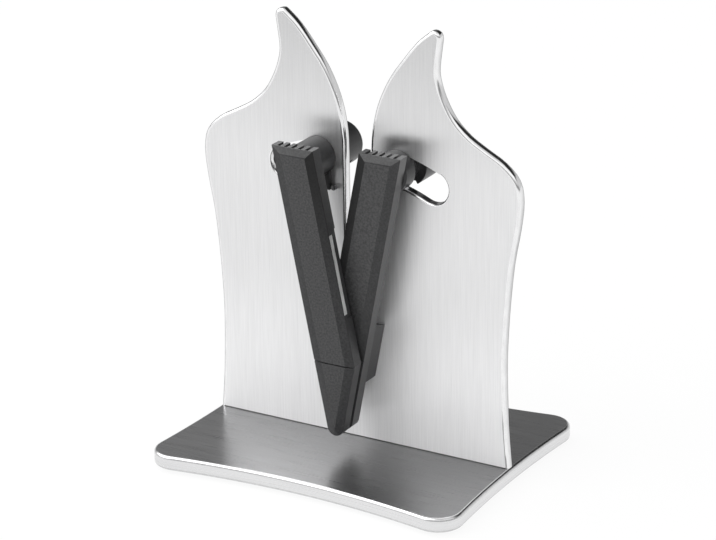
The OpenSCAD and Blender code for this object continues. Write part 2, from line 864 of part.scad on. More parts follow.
module spacer_opening() {
    pivot_rod(spacer_hole_r, right_back - arm_t - overrun, right_pocket_floor);
}

module right_arm_cover() {
    color("dimgray") difference() {
        arm_cover(right_back);
        spacer_opening();
    }
}

module right_end_cap() {
    color("dimgray") difference() {
        end_cap(right_back);
        spacer_opening();
    }
}

module right_sharpening_bar() {
    color("lightgray") sharpening_bar(right_back);
}

module right_hub() {
    color("gray") hub(right_back);
}

module right_hub_shaft() {
    color("silver") hub_shaft(right_back);
}

module right_rear_cap() {
    color("dimgray") rear_cap();
}

module right_cap_screw() {
    color("silver") cap_screw();
}

module right_return_spring() {
    return_spring(right_leg_y, 1);
}

base_plate();
upright_plate();
rubber_feet();
base_screws();
stop_pins();
pivot_bolt();
pivot_spacer();
spring_sleeve();
pivot_washer();
pivot_nut();
right_pivot_block();
left_arm_body();
left_arm_cover();
left_end_cap();
left_sharpening_bar();
left_pivot_bush();
left_hub();
left_hub_shaft();
left_rear_cap();
left_cap_screw();
lock_screw();
left_return_spring();
right_arm_body();
right_arm_cover();
right_end_cap();
right_sharpening_bar();
right_pivot_bush();
right_hub();
right_hub_shaft();
right_rear_cap();
right_cap_screw();
right_return_spring();
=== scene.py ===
import json
import math

import bpy
from mathutils import Euler, Matrix, Vector


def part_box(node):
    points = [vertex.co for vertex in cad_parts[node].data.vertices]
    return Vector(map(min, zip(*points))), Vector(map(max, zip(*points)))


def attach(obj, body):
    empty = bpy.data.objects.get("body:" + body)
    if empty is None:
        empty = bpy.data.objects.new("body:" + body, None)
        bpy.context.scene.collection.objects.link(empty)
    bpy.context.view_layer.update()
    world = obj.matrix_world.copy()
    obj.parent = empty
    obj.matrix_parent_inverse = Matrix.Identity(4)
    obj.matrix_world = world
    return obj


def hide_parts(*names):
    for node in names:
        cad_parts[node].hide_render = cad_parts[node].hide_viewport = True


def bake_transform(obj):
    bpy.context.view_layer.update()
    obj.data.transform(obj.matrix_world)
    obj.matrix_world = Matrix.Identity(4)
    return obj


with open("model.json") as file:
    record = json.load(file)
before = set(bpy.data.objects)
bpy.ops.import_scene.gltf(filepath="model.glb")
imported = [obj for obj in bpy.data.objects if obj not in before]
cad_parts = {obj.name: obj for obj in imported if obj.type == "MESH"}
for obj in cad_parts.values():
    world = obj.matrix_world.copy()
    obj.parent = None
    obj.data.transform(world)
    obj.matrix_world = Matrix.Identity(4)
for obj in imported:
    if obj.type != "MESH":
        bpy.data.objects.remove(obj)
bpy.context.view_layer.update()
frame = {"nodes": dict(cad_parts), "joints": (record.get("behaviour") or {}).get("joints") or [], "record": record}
mm = 0.001
bodies = frame["record"]["behaviour"]["bodies"]
bodyOf = {node: body for body, nodes in bodies.items() for node in nodes}
pivotZ = frame["joints"][0]["pos_m"][2]  # height of the bolt that both arms turn on
print("frame loaded:", len(frame["nodes"]), "nodes")


# slack is how near a point has to be to a level; merge and flat (degrees) clean up a CAD copy
meshSet = {"slack": 1e-6, "endFacing": 0.99, "merge": 2e-6, "flat": 0.4}


def extent(node, axis):
    # lowest and highest place of a CAD node along X, Y or Z
    return [corner["XYZ".index(axis)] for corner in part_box(node)]


def halfWidth(node):
    low, high = extent(node, "X")
    return (high - low) / 2


def selectOnly(piece=None):
    # nothing selected, or this piece alone and active
    bpy.ops.object.select_all(action="DESELECT")
    if piece:
        bpy.context.view_layer.objects.active = piece
        piece.select_set(True)


def openEdit(piece, mode="FACE"):
    # one piece in edit mode with nothing selected
    selectOnly(piece)
    bpy.ops.object.mode_set(mode="EDIT")
    bpy.ops.mesh.select_mode(type=mode)
    bpy.ops.mesh.select_all(action="DESELECT")


def closeEdit():
    bpy.ops.object.mode_set(mode="OBJECT")


def pick(piece, faces=None, edges=None):
    # selects the faces or edges that pass a test, and goes back to edit mode
    closeEdit()
    mesh = piece.data
    if faces:
        for face in mesh.polygons:
            face.select = faces(face)
    if edges:
        for edge in mesh.edges:
            edge.select = edges([mesh.vertices[i].co for i in edge.vertices])
    bpy.ops.object.mode_set(mode="EDIT")


def onLevel(ends, level, slack=meshSet["slack"]):
    # both ends of an edge lie on one level of Y
    return all(abs(co.y - level) < slack for co in ends)


def settle(piece):
    # moves the object's place into its mesh
    selectOnly(piece)
    bpy.ops.object.transform_apply(location=True, rotation=True, scale=True)


def smooth(piece, angle, weighted=True):
    selectOnly(piece)
    bpy.ops.object.shade_smooth_by_angle(angle=math.radians(angle))
    if weighted:
        piece.modifiers.new("weighted", "WEIGHTED_NORMAL")
        piece.modifiers["weighted"].keep_sharp = True
        bpy.ops.object.modifier_apply(modifier="weighted")


def layUv(piece):
    # brushing follows the axis that a face looks along
    mesh = piece.data
    layer = mesh.uv_layers.new(name="brush")
    for face in mesh.polygons:
        n = [abs(c) for c in face.normal]
        for loop in face.loop_indices:
            co = mesh.vertices[mesh.loops[loop].vertex_index].co
            if n[1] >= max(n[0], n[2]):
                layer.data[loop].uv = (co.x, co.z)
            elif n[2] >= n[0]:
                layer.data[loop].uv = (co.y, co.x)
            else:
                layer.data[loop].uv = (co.y, co.z)


def copyNode(node, name):
    # merged copy of a CAD node, standing in its place
    piece = bpy.data.objects.new(name, frame["nodes"][node].data.copy())
    bpy.context.scene.collection.objects.link(piece)
    piece.data.materials.clear()
    openEdit(piece, "VERT")
    bpy.ops.mesh.select_all(action="SELECT")
    bpy.ops.mesh.remove_doubles(threshold=meshSet["merge"])
    bpy.ops.mesh.dissolve_limited(angle_limit=math.radians(meshSet["flat"]))
    closeEdit()
    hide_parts(node)
    return piece


def dress(piece, node, *materials, choose=None):
    # gives a piece its materials, one for each face where there is a choice, and its body
    for material in materials:
        piece.data.materials.append(material)
    if choose:
        for face in piece.data.polygons:
            face.material_index = materials.index(choose(face))
    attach(piece, bodyOf[node])


def addRod(name, radius, start, end, at, sides=64):
    # a rod along Y between two levels, round the axis at (x, z)
    selectOnly()
    bpy.ops.mesh.primitive_cylinder_add(vertices=sides, radius=radius, depth=end - start,
                                        location=(at[0], (start + end) / 2, at[1]),
                                        rotation=(math.radians(90), 0, 0))
    piece = bpy.context.active_object
    piece.name = name
    settle(piece)
    return piece


def addBlock(size, middle, turn=(0, 0, 0)):
    # a block to be shaped or carved with
    selectOnly()
    bpy.ops.mesh.primitive_cube_add(size=1, location=middle, rotation=turn, scale=size)
    piece = bpy.context.active_object
    settle(piece)
    return piece


def sinkFace(piece, level, rim, depth):
    # insets the end face at a level and pushes its middle along Y
    openEdit(piece)
    pick(piece, faces=lambda face: abs(face.center.y - level) < meshSet["slack"]
         and abs(face.normal.y) > meshSet["endFacing"])
    bpy.ops.mesh.inset(thickness=rim, depth=0)
    bpy.ops.mesh.extrude_region_move(TRANSFORM_OT_translate={"value": (0, depth, 0)})
    closeEdit()


def roundEdges(piece, width, segments, test=None, clamp=True):
    # rounds the edges that pass a test, or all of them
    openEdit(piece, "EDGE")
    if test:
        pick(piece, edges=test)
    else:
        bpy.ops.mesh.select_all(action="SELECT")
    bpy.ops.mesh.bevel(offset=width, segments=segments, affect="EDGES", clamp_overlap=clamp)
    closeEdit()


def carve(piece, tool):
    # takes a tool away from a piece and clears it
    cut = piece.modifiers.new("cut", "BOOLEAN")
    cut.operation = "DIFFERENCE"
    cut.object = tool
    cut.solver = "EXACT"
    bpy.context.view_layer.objects.active = piece
    bpy.ops.object.modifier_apply(modifier="cut")
    bpy.data.objects.remove(tool)


def joinInto(piece, other):
    selectOnly(piece)
    other.select_set(True)
    bpy.ops.object.join()


# the part of the noise over which a tone or roughness runs from its first value to its second
noiseSpan = {"wide": (0.3, 0.7), "tight": (0.35, 0.65)}


def startMaterial(name, **sockets):
    material = bpy.data.materials.new(name)
    material.use_nodes = True
    shader = material.node_tree.nodes["Principled BSDF"]
    for socket, value in sockets.items():
        shader.inputs[socket].default_value = value
    return material, material.node_tree, shader


def tune(material, socket, value):
    # sets one of the shader's own values
    material.node_tree.nodes["Principled BSDF"].inputs[socket].default_value = value


def addNode(tree, kind, **values):
    node = tree.nodes.new(kind)
    for key, value in values.items():
        setattr(node, key, value)
    return node


def grain(tree, scale, detail, stretch=(1, 1, 1)):
    # noise in object space, stretched along the brushing
    coords = addNode(tree, "ShaderNodeTexCoord")
    place = addNode(tree, "ShaderNodeMapping")
    place.inputs["Scale"].default_value = stretch
    noise = addNode(tree, "ShaderNodeTexNoise")
    noise.inputs["Scale"].default_value = scale
    noise.inputs["Detail"].default_value = detail
    tree.links.new(coords.outputs["Object"], place.inputs["Vector"])
    tree.links.new(place.outputs["Vector"], noise.inputs["Vector"])
    return noise.outputs["Fac"]


def ramp(tree, source, stops):
    node = addNode(tree, "ShaderNodeValToRGB")
    while len(node.color_ramp.elements) < len(stops):
        node.color_ramp.elements.new(0.5)
    for element, (place, value) in zip(node.color_ramp.elements, stops):
        element.position = place
        element.color = (*value, 1) if isinstance(value, tuple) else (value, value, value, 1)
    tree.links.new(source, node.inputs["Fac"])
    return node.outputs["Color"]


def spread(tree, source, pair, span=noiseSpan["wide"]):
    # runs from the first value of a pair to the second over a span of the noise
    return ramp(tree, source, list(zip(span, pair)))


def bump(tree, shader, height, strength, distance):
    node = addNode(tree, "ShaderNodeBump")
    node.inputs["Strength"].default_value = strength
    node.inputs["Distance"].default_value = distance
    tree.links.new(height, node.inputs["Height"])
    tree.links.new(node.outputs["Normal"], shader.inputs["Normal"])


def mapTo(tree, source, fromMin, fromMax, toMin, toMax):
    node = addNode(tree, "ShaderNodeMapRange", interpolation_type="SMOOTHSTEP")
    sockets = ("From Min", "From Max", "To Min", "To Max")
    for socket, value in zip(sockets, (fromMin, fromMax, toMin, toMax)):
        node.inputs[socket].default_value = value
    tree.links.new(source, node.inputs["Value"])
    return node.outputs["Result"]


def mixBy(tree, factor, first, second):
    node = addNode(tree, "ShaderNodeMix", data_type="RGBA")
    tree.links.new(factor, node.inputs["Factor"])
    tree.links.new(first, node.inputs["A"])
    tree.links.new(second, node.inputs["B"])
    return node.outputs["Result"]


def scaleBy(tree, colour, factor):
    node = addNode(tree, "ShaderNodeVectorMath", operation="SCALE")
    tree.links.new(colour, node.inputs[0])
    tree.links.new(factor, node.inputs["Scale"])
    return node.outputs["Vector"]


def placeAlong(tree, axis):
    # where a point of the object stands along one axis
    coords = addNode(tree, "ShaderNodeTexCoord")
    apart = addNode(tree, "ShaderNodeSeparateXYZ")
    tree.links.new(coords.outputs["Object"], apart.inputs[0])
    return apart.outputs[axis]


def paintShadeAlong(tree, tone, fade):
    # painted shade: a slow change of tone from one end of a piece to the other
    axis, start, end, first, last = fade
    return scaleBy(tree, tone, mapTo(tree, placeAlong(tree, axis), start, end, first, last))


# fine lines with a share of broad ones, which are so many times wider
brushSet = {"broader": 9, "broadShare": 0.18, "fineDetail": 6.0, "broadDetail": 3.0,
            "depth": 0.02 * mm}


def brushedSteel(name, look):
    material, tree, shader = startMaterial(name, Metallic=1.0, Anisotropic=look["anisotropy"],
                                           Roughness=look["roughness"][1])
    lines = grain(tree, look["lineScale"], brushSet["fineDetail"], look["stretch"])
    broadScale = look["lineScale"] / brushSet["broader"]
    broad = grain(tree, broadScale, brushSet["broadDetail"], look["stretch"])
    mixer = addNode(tree, "ShaderNodeMix", data_type="FLOAT")
    mixer.inputs[0].default_value = brushSet["broadShare"]
    tree.links.new(lines, mixer.inputs[2])
    tree.links.new(broad, mixer.inputs[3])
    both = mixer.outputs[0]
    tone = spread(tree, both, look["tint"])
    # painted shade: the tone darkens along one axis of the piece
    if "fade" in look:
        tone = paintShadeAlong(tree, tone, look["fade"])
    tree.links.new(tone, shader.inputs["Base Color"])
    if "foot" in look:
        # painted light: less metallic towards the foot, so that the sheet shows pale there
        tree.links.new(mapTo(tree, placeAlong(tree, "Z"), *look["foot"]), shader.inputs["Metallic"])
    tree.links.new(spread(tree, both, look["roughness"]), shader.inputs["Roughness"])
    bump(tree, shader, lines, look["bump"], brushSet["depth"])
    tangent = addNode(tree, "ShaderNodeTangent", direction_type="UV_MAP", uv_map="brush")
    tree.links.new(tangent.outputs["Tangent"], shader.inputs["Tangent"])
    return material


polishSet = {"scale": 900.0, "detail": 5.0, "stretch": (1, 1, 0.25), "roughness": (0.8, 1.25),
             "bump": 0.04, "depth": 0.01 * mm}


def polishedSteel(name, low, high, roughness):
    # faint rubbing marks in tone and gloss
    material, tree, shader = startMaterial(name, Metallic=1.0, Roughness=roughness)
    marks = grain(tree, polishSet["scale"], polishSet["detail"], polishSet["stretch"])
    tone = spread(tree, marks, (low, high), noiseSpan["tight"])
    tree.links.new(tone, shader.inputs["Base Color"])
    uneven = [roughness * share for share in polishSet["roughness"]]
    tree.links.new(spread(tree, marks, uneven), shader.inputs["Roughness"])
    bump(tree, shader, marks, polishSet["bump"], polishSet["depth"])
    return material


# cloud and fine are the scale and detail of the two grains
mouldSet = {"cloud": (1400.0, 3.0), "fine": (5200.0, 2.0), "roughness": (0.85, 1.15),
            "depth": 0.06 * mm}


def mouldedPlastic(name, low, high, roughness, grainHeight=0.25, fade=None):
    # fine spark-eroded grain with a slight cloud of colour
    material, tree, shader = startMaterial(name, Roughness=roughness)
    cloud = grain(tree, *mouldSet["cloud"])
    fine = grain(tree, *mouldSet["fine"])
    tone = spread(tree, cloud, (low, high))
    # painted shade: the tone darkens along one axis where asked
    if fade:
        tone = paintShadeAlong(tree, tone, fade)
    tree.links.new(tone, shader.inputs["Base Color"])
    uneven = [roughness * share for share in mouldSet["roughness"]]
    tree.links.new(spread(tree, fine, uneven), shader.inputs["Roughness"])
    bump(tree, shader, cloud, grainHeight, mouldSet["depth"])
    return material


# foot: heights and how metallic the sheet is there, painted light that keeps the plate pale at its foot; painted
# shade: axis, its two ends and their shares, darker towards the plate's top and the base's right
plateLook = {"tint": ((0.765, 0.765, 0.77), (0.855, 0.855, 0.86)), "roughness": (0.30, 0.38),
             "anisotropy": 0.8, "lineScale": 2600.0, "stretch": (1, 1, 0.025), "bump": 0.08,
             "foot": (8 * mm, 75 * mm, 0.02, 0.92), "fade": ("Z", 0.11, 0.17, 1.0, 0.79)}
# painted shade: the base's top is given a darker tone than its sides, which are the same steel
baseLook = {"tint": ((0.35, 0.35, 0.355), (0.42, 0.42, 0.425)), "roughness": (0.26, 0.32),
            "anisotropy": 0.6, "lineScale": 2800.0, "stretch": (0.02, 1, 1), "bump": 0.12,
            "fade": ("X", -0.015, 0.045, 0.95, 0.7)}
# painted light: the base's sides are given a lighter tone than its top
sideLook = {"tint": ((0.72, 0.72, 0.725), (0.82, 0.82, 0.825)), "roughness": (0.24, 0.32),
            "anisotropy": 0.6, "lineScale": 1300.0, "stretch": (0.02, 0.02, 1), "bump": 0.05}
plateSteel = brushedSteel("brushed_plate_steel", plateLook)
paintedShadeTopSteel = brushedSteel("brushed_base_steel", baseLook)
paintedLightSideSteel = brushedSteel("brushed_side_steel", sideLook)

edgeSteel = polishedSteel("polished_edge_steel", (0.82, 0.82, 0.825), (0.90, 0.90, 0.905), 0.12)
tune(edgeSteel, "Specular Tint", (0.25, 0.25, 0.25, 1))
rimSteel = polishedSteel("polished_rim_steel", (0.58, 0.58, 0.585), (0.66, 0.66, 0.665), 0.2)
# painted reflection: dark steel for the band along the plate's foot
paintedReflectionFootSteel = polishedSteel("dark_seam_steel", (0.09, 0.09, 0.09), (0.14, 0.14, 0.14), 0.35)
screwSteel = polishedSteel("nickelled_screw_steel", (0.42, 0.42, 0.43), (0.50, 0.50, 0.51), 0.22)
turnedSteel = polishedSteel("turned_shaft_steel", (0.50, 0.50, 0.51), (0.58, 0.58, 0.59), 0.25)
pinSteel = polishedSteel("dark_pin_steel", (0.20, 0.20, 0.205), (0.27, 0.27, 0.275), 0.30)
springSteel = polishedSteel("drawn_spring_wire", (0.50, 0.51, 0.53), (0.60, 0.61, 0.63), 0.20)
barSteel = polishedSteel("ground_bar_steel", (0.58, 0.585, 0.58), (0.70, 0.705, 0.70), 0.42)
tune(barSteel, "Metallic", 0.35)
bronze = polishedSteel("sintered_bronze", (0.42, 0.27, 0.13), (0.52, 0.35, 0.18), 0.42)

# front panels; their bevels, smoother and in a darker tone of painted shade, the inner ones with painted shade
# that deepens upwards; outer sides and grooved tops in lighter tones of painted light
panelPlastic = mouldedPlastic("panel_moulding", (0.016, 0.016, 0.017), (0.049, 0.049, 0.050),
                              0.50, 0.5)
# painted shade: the outer bevels are given a darker tone than the panels
paintedShadeBevelPlastic = mouldedPlastic("smooth_bevel_moulding", (0.016, 0.016, 0.017),
                               (0.034, 0.034, 0.035), 0.44, 0.3)
tune(paintedShadeBevelPlastic, "Specular IOR Level", 0.38)
# painted shade: the inner bevels darken towards the top
paintedShadeInnerPlastic = mouldedPlastic("inner_bevel_moulding", (0.016, 0.016, 0.017),
                              (0.034, 0.034, 0.035), 0.5, 0.3, fade=("Z", 0.055, 0.125, 1.0, 0.22))
tune(paintedShadeInnerPlastic, "Specular IOR Level", 0.28)
# painted light: the outer sides are given a lighter tone than the panels
paintedLightSidePlastic = mouldedPlastic("side_moulding", (0.048, 0.048, 0.049), (0.062, 0.062, 0.063),
                             0.33, 0.2)
# painted light: faces that look upwards are given a lighter tone
paintedLightTopPlastic = mouldedPlastic("worn_top_moulding", (0.050, 0.050, 0.051), (0.078, 0.078, 0.079),
                            0.38, 0.2)
armPlastic = mouldedPlastic("arm_moulding", (0.030, 0.030, 0.031), (0.040, 0.040, 0.041), 0.40)
hubPlastic = mouldedPlastic("hub_moulding", (0.016, 0.016, 0.017), (0.024, 0.024, 0.025), 0.34)
tune(hubPlastic, "Specular IOR Level", 0.36)
# black oxide is dull and scatters light as a plastic does
blackenedSteel = mouldedPlastic("blackened_screw_steel", (0.026, 0.026, 0.027),
                                (0.040, 0.040, 0.041), 0.30, 0.1)
tune(blackenedSteel, "Specular IOR Level", 0.04)
rubber = mouldedPlastic("foot_rubber_black", (0.012, 0.012, 0.012), (0.022, 0.022, 0.022),
                        0.75, 0.5)
print("materials made")


# the slots are arcs round the pivot; along the plate's foot a narrow rounded band is painted dark, a painted
# reflection of the base
plateSet = {"levelSlack": 0.01 * mm, "faceOn": 0.999, "smooth": 32, "slotRadius": 73.9 * mm,
            "slotHalf": 6.25 * mm, "slotSlack": 0.25 * mm, "slotFrom": 9 * mm,
            "slotTo": 38 * mm, "slotEdge": 3.2 * mm, "slotRound": 0.7 * mm, "seam": 0.28 * mm}
plateFaces = extent("upright_plate", "Y")
plateFoot = extent("upright_plate", "Z")[0]


def nearSlot(co):
    # inside the band of one of the two curved slots, round the pivot
    r = math.hypot(co.x, co.z - pivotZ)
    inBand = abs(r - plateSet["slotRadius"]) < plateSet["slotHalf"] + plateSet["slotSlack"]
    return inBand and plateSet["slotFrom"] < abs(co.x) < plateSet["slotTo"]


def slotRim(ends):
    flat = any(onLevel(ends, level, plateSet["levelSlack"]) for level in plateFaces)
    short = (ends[0] - ends[1]).length < plateSet["slotEdge"]
    return flat and short and all(nearSlot(co) for co in ends)


def footEdge(ends):
    low = all(abs(co.z - plateFoot) < plateSet["levelSlack"] for co in ends)
    return low and abs(ends[0].y - ends[1].y) < plateSet["levelSlack"]


def plateFinish(face):
    if abs(face.normal.y) > plateSet["faceOn"]:
        return plateSteel
    # painted reflection: the band at the foot is painted dark
    return paintedReflectionFootSteel if face.center.z < plateFoot + plateSet["seam"] else edgeSteel


upright = copyNode("upright_plate", "upright_plate_brushed")
roundEdges(upright, plateSet["seam"], 1, test=footEdge, clamp=False)
roundEdges(upright, plateSet["slotRound"], 4, test=slotRim, clamp=False)
smooth(upright, plateSet["smooth"])
layUv(upright)
dress(upright, "upright_plate", plateSteel, edgeSteel, paintedReflectionFootSteel, choose=plateFinish)


baseSet = {"width": 128.8 * mm, "depth": 103 * mm, "endBow": 1.7 * mm, "sideBow": 4.5 * mm,
           "corner": 9.6 * mm, "rim": 1.2 * mm, "rimSteps": 7, "screwX": 45 * mm,
           "screwY": 0.6 * mm, "screwHole": 2.75 * mm, "screwDepth": 1.5 * mm,
           "sideSteps": 16, "cornerSteps": 14, "smooth": 50, "faceUp": 0.9999, "faceOut": 0.01}


def baseOutline():
    # a quarter of the outline, bowed end, round corner, bowed side, then mirrored round
    cx = baseSet["width"] / 2 - baseSet["corner"]
    cy = baseSet["depth"] / 2 - baseSet["corner"]
    endLean = math.atan(2 * baseSet["endBow"] / cy)
    sideLean = math.atan(2 * baseSet["sideBow"] / cx)
    r, n, m = baseSet["corner"], baseSet["sideSteps"], baseSet["cornerSteps"]
    endX, endY = cx + r * math.cos(endLean), cy - r * math.sin(endLean)
    sideX, sideY = cx - r * math.sin(sideLean), cy + r * math.cos(sideLean)
    quarter = [(endX - baseSet["endBow"] * (1 - (k / n) ** 2), endY * k / n) for k in range(n)]
    sweep = math.pi / 2 + endLean + sideLean
    quarter += [(cx + r * math.cos(turned), cy + r * math.sin(turned))
                for turned in (sweep * k / m - endLean for k in range(m + 1))]
    quarter += [(sideX * k / n, sideY - baseSet["sideBow"] * (1 - (k / n) ** 2))
                for k in range(n - 1, -1, -1)]
    left = [(-x, y) for x, y in reversed(quarter[:-1])]
    far = quarter + left
    return far + [(x, -y) for x, y in reversed(far[1:-1])]


def baseFinish(face):
    # painted light and shade: the top takes the darker steel, the sides the lighter one
    up = abs(face.normal.z)
    if up > baseSet["faceUp"]:
        return paintedShadeTopSteel
    return paintedLightSideSteel if up < baseSet["faceOut"] else rimSteel


outline = baseOutline()
baseUnder, baseTop = extent("base_plate", "Z")
selectOnly()
bpy.ops.mesh.primitive_circle_add(vertices=len(outline), radius=baseSet["depth"] / 2,
                                  fill_type="NGON", location=(0, 0, baseUnder))
base = bpy.context.active_object
base.name = "base_plate_brushed"
settle(base)
for vert, (x, y) in zip(base.data.vertices, outline):
    vert.co.x, vert.co.y = x, y
openEdit(base)
bpy.ops.mesh.select_all(action="SELECT")
bpy.ops.mesh.extrude_region_move(TRANSFORM_OT_translate={"value": (0, 0, baseTop - baseUnder)})
bpy.ops.mesh.select_all(action="SELECT")
bpy.ops.mesh.normals_make_consistent(inside=False)
closeEdit()
roundEdges(base, baseSet["rim"], baseSet["rimSteps"],
           test=lambda ends: abs(ends[0].z - ends[1].z) < meshSet["slack"])
for place in (-1, 0, 1):
    selectOnly()
    bpy.ops.mesh.primitive_cylinder_add(
        vertices=48, radius=baseSet["screwHole"], depth=2 * baseSet["screwDepth"],
        location=(place * baseSet["screwX"], baseSet["screwY"], baseUnder))
    drill = bpy.context.active_object
    settle(drill)
    carve(base, drill)
smooth(base, baseSet["smooth"])
layUv(base)
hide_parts("base_plate")
dress(base, "base_plate", paintedShadeTopSteel, rimSteel, paintedLightSideSteel, choose=baseFinish)
print("steel plates made")


# the left arm is the front one; panels and bodies are rounded where they show an edge
armSet = {"panelRound": 0.35 * mm, "bodyRound": 0.3 * mm, "longEdge": 6 * mm,
          "barRound": 0.12 * mm, "boltClear": 7 * mm, "topFrom": 118 * mm, "smooth": 28,
          "faceFront": -0.995, "bevelUp": 0.25, "topUp": 0.6, "faceOut": 0.95, "faceIn": -0.1}


def panelFinish(face, outer):
    # outer is the sign of X on the arm's outer side
    # painted light on upward and outer faces, painted shade on the bevels
    if face.normal.y < armSet["faceFront"]:
        return panelPlastic
    if face.normal.z > armSet["bevelUp"]:
        return paintedLightTopPlastic
    if face.normal.x * outer > armSet["faceOut"]:
        return paintedLightSidePlastic
    return paintedShadeInnerPlastic if face.normal.x * outer < armSet["faceIn"] else paintedShadeBevelPlastic


def bodyFinish(face, outer):
    # painted light on the grooved tops and the outer sides
    if face.normal.z > armSet["topUp"] and face.center.z > armSet["topFrom"]:
        return paintedLightTopPlastic
    return paintedLightSidePlastic if face.normal.x * outer > armSet["faceOut"] else armPlastic


def clearOfBolt(ends):
    near = min(math.hypot(co.x, co.z - pivotZ) for co in ends)
    return near > armSet["boltClear"]


for side, outer in (("left", -1), ("right", 1)):
    front, back = extent(side + "_arm_cover", "Y")[0], extent(side + "_arm_body", "Y")[1]
    for part in ("arm_cover", "end_cap"):
        panel = copyNode(side + "_" + part, side + "_" + part + "_panel")
        roundEdges(panel, armSet["panelRound"], 3,
                   test=lambda ends: onLevel(ends, front) and clearOfBolt(ends))
        smooth(panel, armSet["smooth"])
        dress(panel, side + "_" + part, panelPlastic, paintedShadeBevelPlastic, paintedLightTopPlastic, paintedLightSidePlastic,
              paintedShadeInnerPlastic, choose=lambda face: panelFinish(face, outer))
    body = copyNode(side + "_arm_body", side + "_arm_moulding")
    roundEdges(body, armSet["bodyRound"], 3, test=lambda ends: onLevel(ends, back)
               and (ends[0] - ends[1]).length > armSet["longEdge"])
    smooth(body, armSet["smooth"])
    dress(body, side + "_arm_body", armPlastic, paintedLightTopPlastic, paintedLightSidePlastic,
          choose=lambda face: bodyFinish(face, outer))
    bar = copyNode(side + "_sharpening_bar", side + "_ground_bar")
    roundEdges(bar, armSet["barRound"], 2, clamp=False)
    smooth(bar, armSet["smooth"])
    dress(bar, side + "_sharpening_bar", barSteel)
print("arms made")


# lug: across from and to, low and high; window: a square hole that opens towards the pivot
hubSet = {"round": 1.0 * mm, "lugDepth": 1.7 * mm, "lugRound": 0.25 * mm, "smooth": 35,
          "lug": (11.0 * mm, 14.2 * mm, 103.92 * mm, 111.52 * mm)}
capSet = {"round": 1.2 * mm, "rimShare": 0.9, "recessRadius": 3.0 * mm, "recess": 1.5 * mm,
          "window": 6.0 * mm, "overrun": 2 * mm, "lean": 12.95, "reach": 12.2 * mm,
          "trim": 0.25 * mm, "trimAngle": 40, "smooth": 35}


def makeHub(side, sign, at):
    front, back = extent(side + "_hub", "Y")
    hub = addRod(side + "_hub_sleeve", halfWidth(side + "_hub"), front, back, at)
    roundEdges(hub, hubSet["round"], 5, test=lambda ends: onLevel(ends, front))
    inner, outer, low, high = hubSet["lug"]
    middle = (sign * (inner + outer) / 2, back - hubSet["lugDepth"] / 2, (low + high) / 2)
    lug = addBlock((outer - inner, hubSet["lugDepth"], high - low), middle)
    roundEdges(lug, hubSet["lugRound"], 3, clamp=False)
    joinInto(hub, lug)
    smooth(hub, hubSet["smooth"])
    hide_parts(side + "_hub")
    dress(hub, side + "_hub", hubPlastic)


def makeCap(side, sign, at):
    front, back = extent(side + "_rear_cap", "Y")
    radius = halfWidth(side + "_rear_cap")
    cap = addRod(side + "_rear_cap_turned", radius, front, back, at)
    sinkFace(cap, back, radius - capSet["recessRadius"], -capSet["recess"])
    rim = capSet["rimShare"] * radius
    roundEdges(cap, capSet["round"], 5, clamp=False, test=lambda ends: onLevel(ends, back)
               and all(math.hypot(co.x - at[0], co.z - at[1]) > rim for co in ends))
    reach, lean = capSet["reach"], math.radians(capSet["lean"])
    toPivot = Vector((-sign * math.sin(lean), 0, -math.cos(lean)))
    middle = Vector((at[0], front + (capSet["window"] - capSet["overrun"]) / 2, at[1]))
    middle += toPivot * reach * math.sqrt(0.5)  # half the square's diagonal
    window = addBlock((reach, capSet["window"] + capSet["overrun"], reach), middle,
                      turn=(0, math.radians(45) + sign * lean, 0))
    carve(cap, window)
    trim = cap.modifiers.new("trim", "BEVEL")
    trim.width = capSet["trim"]
    trim.segments = 2
    trim.limit_method = "ANGLE"
    trim.angle_limit = math.radians(capSet["trimAngle"])
    bpy.ops.object.modifier_apply(modifier="trim")
    smooth(cap, capSet["smooth"])
    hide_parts(side + "_rear_cap")
    dress(cap, side + "_rear_cap", hubPlastic)


for side, sign in (("left", -1), ("right", 1)):
    # hub and rear cap share one axis, through the middle of the cap
    axis = [sum(extent(side + "_rear_cap", way)) / 2 for way in "XZ"]
    makeHub(side, sign, axis)
    makeCap(side, sign, axis)
print("hubs and rear caps made")


# wire and coil are radii; leg is its level in Y, and steps are the points in one turn
springSet = {"wire": 0.55 * mm, "coil": 5.4 * mm, "pitch": 1.55 * mm, "turns": 2.25,
             "legLean": 17.14, "legLength": 69.4 * mm, "legSteps": 6, "anchor": 1.6 * mm,
             "steps": 24, "smooth": 50, "leg": {"left": 8.3375 * mm, "right": 9.7875 * mm}}


